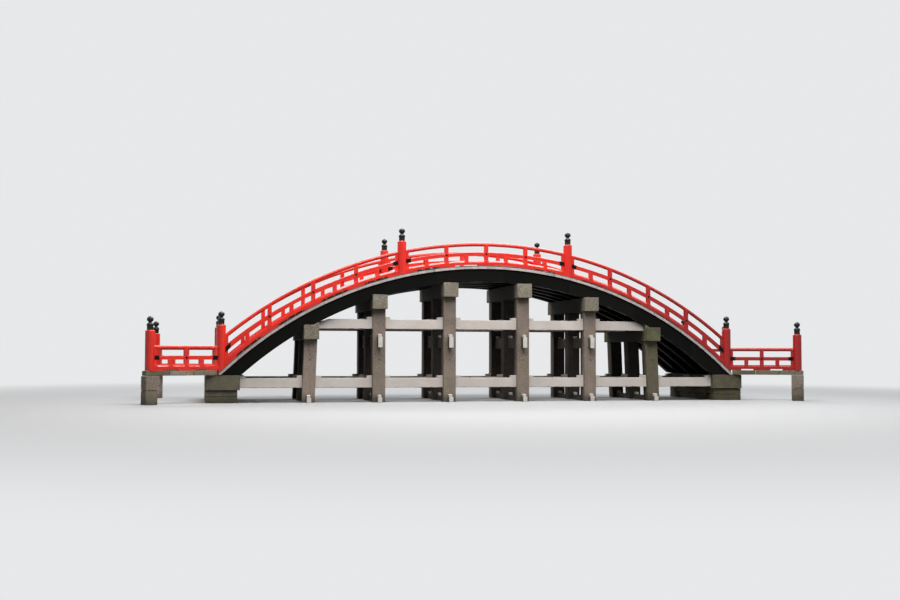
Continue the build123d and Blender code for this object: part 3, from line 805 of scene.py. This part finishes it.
def build_ties():
    """Ties along the bridge, ties across it, and the wedges that lock both."""
    lower = Gather()
    upper = Gather()
    for y in COLUMN_ROWS:
        height = LOWER_TIE[1] - LOWER_TIE[0]
        size = (2 * LOWER_TIE_END_X, TIE_THICKNESS, height)
        tie = rounded_block(size, 0.012, pitch=(0.3, UNCUT, UNCUT), corner=2)
        lower.add_about(tie, (0, y, LOWER_TIE[0] + height / 2))
        height = UPPER_TIE[1] - UPPER_TIE[0]
        size = (2 * UPPER_TIE_END_X, TIE_THICKNESS, height)
        local, faces = rounded_block(size, 0.012, pitch=(0.1, UNCUT, 0.15), corner=2)
        points = local + (0, y, 0)
        top = np.minimum(arch_z(points[:, 0], -SOFFIT_DROP - TIE_CLEARANCE), UPPER_TIE[1])
        points[:, 2] = UPPER_TIE[0] + (local[:, 2] / height + 0.5) * (top - UPPER_TIE[0])
        upper.add(points, faces, local)
    dress(lower, "lower_ties")
    dress(upper, "upper_ties")

    for node, (bottom, top), bents in (
        ("upper_cross_ties", UPPER_CROSS_TIE, BENTS[1:-1]),
        ("lower_cross_ties", LOWER_CROSS_TIE, BENTS),
    ):
        ties = Gather()
        size = (CROSS_TIE_WIDTH, CROSS_TIE_LENGTH, top - bottom)
        tie = rounded_block(size, 0.01, pitch=(UNCUT, 0.4, UNCUT), corner=2)
        for x, _, lean in bents:
            foot_x = x + lean if bottom == 0 else x
            ties.add_about(tie, (foot_x, 0, (bottom + top) / 2))
        dress(ties, node, cross_tie_material)


def wedge(gather, size, center, axis, thin_side):
    """One wedge that lies along an axis and thins a little towards the given side."""
    local, faces = rounded_block(size, 0.008, corner=2)
    share = 1 - WEDGE_TAPER * (0.5 + thin_side * local[:, axis] / WEDGE_LENGTH)
    points = local.copy()
    points[:, 2] = (local[:, 2] + size[2] / 2) * share - size[2] / 2
    gather.add(points + center, faces, local)


def build_wedges():
    """Wedges on the ties, beside each column."""
    reach = (COLUMN_WIDTH + WEDGE_LENGTH) / 2
    sill_x = LOWER_TIE_END_X - WEDGE_LENGTH / 2
    lower_z, upper_z, lower_cross_z, upper_cross_z = (
        tie[1] + WEDGE_HEIGHT / 2 for tie in (LOWER_TIE, UPPER_TIE, LOWER_CROSS_TIE, UPPER_CROSS_TIE)
    )
    wedges = Gather()
    size = (WEDGE_LENGTH, TIE_THICKNESS, WEDGE_HEIGHT)
    for y in COLUMN_ROWS:
        for x, notch, lean in BENTS:
            column_x = x + lean * (1 - LOWER_TIE[1] / (cap_top(x, notch) - CAP_SIZE[2]))
            for side in (-1, 1):
                wedge(wedges, size, (column_x + side * reach, y, lower_z), 0, side)
                if lean == 0:
                    wedge(wedges, size, (x + side * reach, y, upper_z), 0, side)
        for side in (-1, 1):
            wedge(wedges, size, (side * sill_x, y, lower_z), 0, -side)
    dress(wedges, "tie_wedges")

    cross_wedges = Gather()
    size = (CROSS_WEDGE_WIDTH, WEDGE_LENGTH, WEDGE_HEIGHT)
    for y in COLUMN_ROWS:
        for side in (-1, 1):
            for x, _, lean in BENTS:
                wedge(cross_wedges, size, (x + lean, y + side * reach, lower_cross_z), 1, side)
                if lean == 0:
                    wedge(cross_wedges, size, (x, y + side * reach, upper_cross_z), 1, side)
    dress(cross_wedges, "cross_tie_wedges")


def stone_row(gather, ends, ys, zs, count, film):
    """A row of stones across the bridge that fills a box."""
    for start, end in pairwise(np.linspace(*ys, count + 1)):
        low_y = start + (STONE_GAP / 2 if start > ys[0] else 0)
        high_y = end - (STONE_GAP / 2 if end < ys[1] else 0)
        low, high = np.array([(x, y, z) for x, y, z in zip(sorted(ends), (low_y, high_y), zs)])
        stone = stone_block(high - low, pitch=0.08)
        gather.add_about(stone, (low + high) / 2, film + random.uniform(0, 0.3))


def build_abutments():
    """Coursed walls and sill stones at both ends of the arch. The right ones are mossier."""
    sills = Gather()
    walls = Gather()
    sill_low, sill_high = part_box("sill_stones")
    wall_low, wall_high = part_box("abutment_walls")
    wall_inner_x = LOWER_TIE_END_X + (sill_high.y - wall_high.y)
    course = (wall_high.z - wall_low.z) / 2
    for side, film in ((-1, 0.4), (1, 0.65)):
        ends = (side * LOWER_TIE_END_X, side * sill_high.x)
        stone_row(sills, ends, (sill_low.y, sill_high.y), (sill_low.z, sill_high.z), 4, film)
        ends = (side * wall_inner_x, side * wall_high.x)
        for number in range(2):
            z = wall_low.z + course * number
            stone_row(walls, ends, (wall_low.y, wall_high.y), (z, z + course), 5 + number, film)
    dress(sills, "sill_stones", sill_material)
    dress(walls, "abutment_walls", sill_material)


wing_lines = {
    "front_left": Line((-END_POST_X, -RAIL_Y), pi + WING_SPLAY, KERB_TOP),
    "front_right": Line((END_POST_X, -RAIL_Y), -WING_SPLAY, KERB_TOP),
    "back_left": Line((-END_POST_X, RAIL_Y), pi - WING_SPLAY, KERB_TOP),
    "back_right": Line((END_POST_X, RAIL_Y), WING_SPLAY, KERB_TOP),
}
arch_lines = {"front": Line((0, -RAIL_Y)), "back": Line((0, RAIL_Y))}
arch_posts = [-END_POST_X, -MAIN_POST_X, MAIN_POST_X, END_POST_X]
arch_panels = list(pairwise(arch_posts))

round_turn = np.linspace(0, 2 * pi, 24, endpoint=False)
rail_sections = {
    "bottom": bevelled_section(BOTTOM_RAIL_WIDTH, *BOTTOM_RAIL, *BOTTOM_RAIL_BEVEL, BOTTOM_RAIL_EASE),
    "mid": bevelled_section(MID_RAIL_WIDTH, *MID_RAIL, *MID_RAIL_BEVEL, MID_RAIL_EASE),
    "top": np.column_stack([
        TOP_RAIL_RADIUS * np.cos(round_turn), TOP_RAIL_RISE + TOP_RAIL_RADIUS * np.sin(round_turn)
    ]),
}
band_section = rounded_rectangle(
    STRIP_DEPTH + 2 * BAND_THICKNESS, MID_RAIL[0] - BAND_THICKNESS, MID_RAIL[1] + BAND_THICKNESS, 0.006
)


def rail_bars(gather, line, section, panels):
    """A rail in one length from post to post, its ends let into the posts."""
    for start, end in panels:
        gather.add(*bar(line, start + IN_POST, end - IN_POST, section))


def short_and_tall(panels, count, margin):
    """Places of the short and of the tall struts, by turns, from a margin inside each panel's ends."""
    short = []
    tall = []
    for start, end in panels:
        places = np.linspace(start + margin, end - margin, count).tolist()
        short += places[0::2]
        tall += places[1::2]
    return short, tall


def ends_inside(panels):
    """Each panel's two ends, with the direction that points into the panel."""
    return [(start, 1) for start, end in panels] + [(end, -1) for start, end in panels]


def add_uprights(gather, line, places, width, low, high, depth, radius=0.009):
    """Standing timbers at places on a line."""
    timber = rounded_block((width, depth, high - low), radius)
    for place in places:
        gather.add_on(line, place, (low + high) / 2, timber)


def add_beside_posts(gather, line, panels, reach, low, high, depth, radius=0.009):
    """Uprights let into the posts at both ends of each panel, reaching out from the post's face."""
    outer = POST_RADIUS + reach
    places = [place + side * (IN_POST + outer) / 2 for place, side in ends_inside(panels)]
    add_uprights(gather, line, places, outer - IN_POST, low, high, depth, radius)


def add_strips(gather, line, panels):
    """Strips on the bottom rail, close beside each post."""
    add_beside_posts(gather, line, panels, STRIP_WIDTH, STRUT_FOOT, TOP_RAIL_RISE, STRIP_DEPTH)


def add_blocks(gather, line, panels, tall):
    """Blocks that hold the bottom rail off the deck, under the tall struts and beside the posts."""
    shape = (-0.002, BOTTOM_RAIL[0] + 0.004, BOTTOM_RAIL_WIDTH - 0.012, 0.004)
    add_uprights(gather, line, tall, BLOCK_LENGTH, *shape)
    add_beside_posts(gather, line, panels, POST_BLOCK_REACH, *shape)


def add_stops(gather, line, panels, places):
    """Square lengths of the bottom rail, where its bevels stop at each upright."""
    shape = (BOTTOM_RAIL[1] - BOTTOM_RAIL_BEVEL[0], BOTTOM_RAIL[1], BOTTOM_RAIL_WIDTH - 0.001, 0.004)
    add_uprights(gather, line, places, STRUT_WIDTH + 2 * STOP_MARGIN, *shape)
    add_beside_posts(gather, line, panels, STRIP_WIDTH + STOP_MARGIN, *shape)


def add_struts(gather, line, places, top):
    """Struts that stand on the bottom rail."""
    add_uprights(gather, line, places, STRUT_WIDTH, STRUT_FOOT, top, STRUT_DEPTH)


def dome(gather, line, place, across, rise, radius, depth, petals=0, rings=4):
    """A domed boss on an upright face, with a petalled edge when petals are given."""
    segments = 36 if petals else 8
    turn = np.linspace(0, 2 * pi, segments, endpoint=False)
    edge = radius * (1 - PETAL_NOTCH * np.cos(petals * turn / 2) ** 8 * bool(petals))
    side = np.sign(across)
    center = line.at(place, across, rise)
    layers = []
    local = []
    for share in np.linspace(0, 1, rings + 1):
        spread = cos(share * pi / 2 * DOME_REACH)
        height = depth * (share ** 0.8 if petals else sin(share * pi / 2))
        u = edge * spread * np.cos(turn)
        v = edge * spread * np.sin(turn)
        ring = center + u[:, None] * line.along + side * height * line.across
        ring[:, 2] += v
        layers.append(ring)
        local.append(np.column_stack([u, v, np.full(segments, height)]))
    gather.add(np.concatenate(layers), skin(layers), np.concatenate(local))


def add_nail_covers(gather, line, places):
    """Six-petalled nail covers on both faces of each tall strut, with a round boss in each."""
    rise = sum(MID_RAIL) / 2
    for place in places:
        for side in (-1, 1):
            face = side * STRUT_DEPTH / 2
            dome(gather, line, place, face, rise, NAIL_COVER_RADIUS, NAIL_COVER_DEPTH * 0.6, petals=6)
            dome(gather, line, place, face, rise, NAIL_COVER_RADIUS * 0.45, NAIL_COVER_DEPTH)


def add_bands(gather, line, panels):
    """Metal bands round the ends of the middle rail, each with two rows of small nails."""
    half_depth = STRIP_DEPTH / 2 + BAND_THICKNESS
    for place, side in ends_inside(panels):
        ends = sorted((place + side * IN_POST, place + side * (POST_RADIUS + BAND_REACH)))
        gather.add(*bar(line, *ends, band_section, pitch=0.1, ease=0.003))
        for reach in (BAND_NAIL_INSET, BAND_REACH - BAND_NAIL_INSET):
            nail_place = place + side * (POST_RADIUS + reach)
            for share in (0.2, 0.5, 0.8):
                rise = MID_RAIL[0] + share * (MID_RAIL[1] - MID_RAIL[0])
                for across in (-half_depth, half_depth):
                    dome(gather, line, nail_place, across, rise, *BAND_NAIL, rings=2)


def add_between(line, panels, short, tall, shorts, talls, strips, blocks, bands, covers):
    """All that stands and sits between the rails, each kind into its own gather."""
    add_struts(shorts, line, short, SHORT_STRUT_TOP)
    add_struts(talls, line, tall, TOP_RAIL_RISE)
    add_strips(strips, line, panels)
    add_blocks(blocks, line, panels, tall)
    add_bands(bands, line, panels)
    add_nail_covers(covers, line, tall)


def build_railings():
    """The railings over the arch and along the four wings."""
    short, tall = short_and_tall(arch_panels, STRUTS_IN_PANEL, POST_TO_STRUT)
    gathers = {node: Gather() for node in ("short_struts", "tall_struts", "post_strips", "rail_blocks")}
    fittings = {"rail_bands": Gather(), "nail_covers": Gather()}
    for side, line in arch_lines.items():
        for level, section in rail_sections.items():
            rail = Gather()
            rail_bars(rail, line, section, arch_panels)
            if level == "bottom":
                add_stops(rail, line, arch_panels, short + tall)
            dress(rail, f"{level}_rail_{side}", smooth_angle=20)
        add_between(line, arch_panels, short, tall, *gathers.values(), *fittings.values())
    for node, gather in gathers.items():
        dress(gather, node)

    wing_panel = [(0.0, WING_LENGTH)]
    short, tall = short_and_tall(wing_panel, STRUTS_IN_WING, WING_POST_TO_STRUT)
    for name, line in wing_lines.items():
        wing = Gather()
        for section in rail_sections.values():
            rail_bars(wing, line, section, wing_panel)
        add_stops(wing, line, wing_panel, sorted(short + tall))
        add_between(line, wing_panel, short, tall, *[wing] * 4, *fittings.values())
        dress(wing, f"wing_railing_{name}")
    for node, gather in fittings.items():
        dress(gather, node, fitting_material)


def smooth_profile(points, steps=5):
    """A Catmull-Rom curve through (radius, height) points."""
    points = np.array([points[0], *points, points[-1]], float)
    curve = []
    for before, start, end, after in zip(points, points[1:], points[2:], points[3:]):
        bend = 2 * before - 5 * start + 4 * end - after
        twist = 3 * start - before - 3 * end + after
        for t in np.linspace(0, 1, steps, endpoint=False):
            curve.append(tuple(0.5 * (2 * start + (end - before) * t + bend * t**2 + twist * t**3)))
    return curve + [tuple(points[-1])]


# The finial's outline: its collar, drum, bead, bowl, neck ring and onion
FINIAL_PROFILE = (
    [(0.104, 0.0), (0.116, 0.003), (0.118, 0.02), (0.113, 0.026)]
    + smooth_profile([(0.112, 0.03), (0.112, 0.075), (0.113, 0.128)], 3)
    + [(0.118, 0.131), (0.118, 0.14), (0.112, 0.143)]
    + smooth_profile([
        (0.112, 0.146), (0.121, 0.166), (0.124, 0.19), (0.117, 0.22), (0.094, 0.248), (0.062, 0.266)
    ])
    + [(0.059, 0.27), (0.063, 0.273), (0.063, 0.281), (0.057, 0.284)]
    + smooth_profile([
        (0.054, 0.287), (0.064, 0.295), (0.094, 0.318), (0.114, 0.352), (0.118, 0.386), (0.109, 0.425),
        (0.083, 0.459), (0.046, 0.482), (0.02, 0.492), (0.012, 0.5), (0.003, 0.505)
    ])
)


def post_profile(height):
    """Outline of a round post with an eased upper edge."""
    profile = [(POST_RADIUS, 0.0), (POST_RADIUS, height / 2)]
    for angle in np.linspace(0, pi / 2, 5):
        radius = POST_RADIUS - POST_BEVEL * (1 - cos(angle))
        profile.append((radius, height - POST_BEVEL * (1 - sin(angle))))
    return profile


def build_posts():
    """Round posts, each with a black onion-shaped finial."""
    finials = Gather()
    fronts = arch_lines.values()
    groups = {
        "main_posts": [(line, x, MAIN_POST_HEIGHT) for line in fronts for x in arch_posts[1:-1]],
        "end_posts": [(line, x, END_POST_HEIGHT) for line in fronts for x in arch_posts[::3]],
        "wing_posts": [(line, WING_LENGTH, WING_POST_HEIGHT) for line in wing_lines.values()],
    }
    for node, places in groups.items():
        posts = Gather()
        for line, place, height in places:
            foot = line.at(place, 0, 0)
            local, faces = lathe(post_profile(height))
            points = local + foot
            if line.base is None:
                at_foot = local[:, 2] == 0.0
                points[at_foot, 2] = arch_z(points[at_foot, 0], -0.01)
            posts.add(points, faces, local[:, [2, 0, 1]])
            local, faces = lathe(FINIAL_PROFILE, 36)
            finials.add(local + foot + (0, 0, height), faces, local)
        dress(posts, node)
    dress(finials, "post_finials", smooth_angle=38)


def build_wing_stones():
    """Kerbs under the wing railings, and footings under the outer posts with their joints filled."""
    kerbs = Gather()
    footings = Gather()
    past_deck = DECK_END_X - END_POST_X + KERB_CLEARANCE
    kerb_start = (past_deck + KERB_WIDTH / 2 * sin(WING_SPLAY)) / cos(WING_SPLAY)
    kerb_end = WING_LENGTH + FOOTING_WIDTH / 2
    for line in wing_lines.values():
        for start, end in pairwise(np.linspace(kerb_start, kerb_end, 4)):
            stone = stone_block((end - start - KERB_GAP, KERB_WIDTH, KERB_HEIGHT))
            kerbs.add_on(line, (start + end) / 2, -KERB_HEIGHT / 2, stone)
        height = SILL_TOP / 2
        for number in range(2):
            stone = stone_block((FOOTING_WIDTH, FOOTING_WIDTH, height - FOOTING_GAP))
            footings.add_on(line, WING_LENGTH, number * height + height / 2 - KERB_TOP, stone)
        width = FOOTING_WIDTH - 2 * JOINT_DEPTH
        core = rounded_block((width, width, SILL_TOP - 2 * JOINT_DEPTH), 0.004)
        footings.add_on(line, WING_LENGTH, SILL_TOP / 2 - KERB_TOP, core)
    dress(kerbs, "wing_kerbs")
    dress(footings, "wing_footings")


# Floor, world and lights
BACKGROUND = (0.80, 0.81, 0.82)
FLOOR_SEEN = (0.38, 0.386, 0.392)
FLOOR_BOUNCE = (0.12, 0.125, 0.125)
AMBIENT = (0.80, 0.90, 1.0)
AMBIENT_STRENGTH = 0.10
FLOOR_SIZE = 400
FLOOR_FADE = (15, 36)
OVERHEAD_Z = 17
OVERHEAD_WIDTH = 2.0
OVERHEAD_TURN = 5.35


def build_floor():
    """A plain pale floor that fades into the background and gives little light back."""
    bpy.ops.mesh.primitive_plane_add(size=FLOOR_SIZE)
    floor = bpy.context.object
    floor.name = "floor"
    paint = Paint("floor")
    paint.finish(paint.mix(paint.seen_directly(), FLOOR_BOUNCE, FLOOR_SEEN), 0.9)
    glow = paint.node("ShaderNodeEmission", {"Color": (*BACKGROUND, 1)})
    distance = paint.node("ShaderNodeVectorMath", {0: paint.position}, operation="LENGTH")
    far = paint.fade(distance.outputs["Value"], *FLOOR_FADE)
    far = paint.math("MULTIPLY", far, paint.seen_directly())
    paint.blend(far, paint.shader, glow, "Material Output")
    floor.data.materials.append(paint.material)


def build_world():
    """A pale world: its own colour where it is seen, and a low cool light elsewhere."""
    world = bpy.data.worlds.new("studio")
    bpy.context.scene.world = world
    world.use_nodes = True
    sky = Nodes(world.node_tree)
    ambient = sky.tree.nodes["Background"]
    ambient.inputs["Color"].default_value = (*AMBIENT, 1)
    ambient.inputs["Strength"].default_value = AMBIENT_STRENGTH
    shown = sky.node("ShaderNodeBackground", {"Color": (*BACKGROUND, 1)})
    sky.blend(sky.seen_directly(), ambient, shown, "World Output")


def light(name, place, target, size, power, colour, turn=0.0):
    """A large soft light that looks at a target, turned about the upright axis."""
    panel = bpy.data.lights.new(name, "AREA")
    panel.shape = "RECTANGLE"
    panel.size, panel.size_y = size
    panel.energy = power
    panel.color = colour
    holder = new_object(name, panel)
    holder.location = place
    aim = Vector(target) - Vector(place)
    holder.rotation_euler = aim.to_track_quat("-Z", "Y").to_euler()
    holder.rotation_euler.rotate_axis("Z", radians(turn))


def build_lights():
    """A high key in front, a narrow panel overhead in two lengths, and lower lights round about."""
    light("key", (-1, -18, 25), (-1, -2, 3), (26, 17), 9700, (1, 0.97, 0.94))
    for name, x, y, length, power in (
        ("overhead_left", 0.02, -4.37, 20, 2330),
        ("overhead_right", 14.96, -2.97, 10, 330),
    ):
        size = (length, OVERHEAD_WIDTH)
        light(name, (x, y, OVERHEAD_Z), (x, y, 0), size, power, (1, 1, 1), OVERHEAD_TURN)
    light("side", (-34, 14, 20), (4, 0, 4), (10, 10), 2500, (1, 0.90, 0.78))
    light("fill", (30, -20, 24), (0, 0, 3), (14, 10), 2200, (0.95, 0.97, 1))
    light("back", (2, 24, 24), (0, 0, 3), (40, 9), 9000, (0.95, 0.97, 1))


def build_camera():
    """The photograph's own view."""
    data = bpy.data.cameras.new("camera")
    data.sensor_fit = "HORIZONTAL"
    data.sensor_width = SENSOR_WIDTH
    data.lens = FOCAL_PIXELS * SENSOR_WIDTH / PHOTO_WIDTH
    data.clip_end = FAR_CLIP
    camera = new_object("camera", data)
    camera.location = CAMERA_PLACE
    pitch = atan((HORIZON_ROW - PHOTO_HEIGHT / 2) / FOCAL_PIXELS)
    camera.rotation_euler = (pi / 2 + pitch, -CAMERA_ROLL, -CAMERA_YAW)
    bpy.context.scene.camera = camera


build_columns()
build_caps()
build_girders()
build_deck()
build_steps()
build_ties()
build_wedges()
build_abutments()
build_railings()
build_posts()
build_wing_stones()
build_floor()
build_world()
build_lights()
build_camera()
bpy.context.scene.view_settings.view_transform = "Standard"
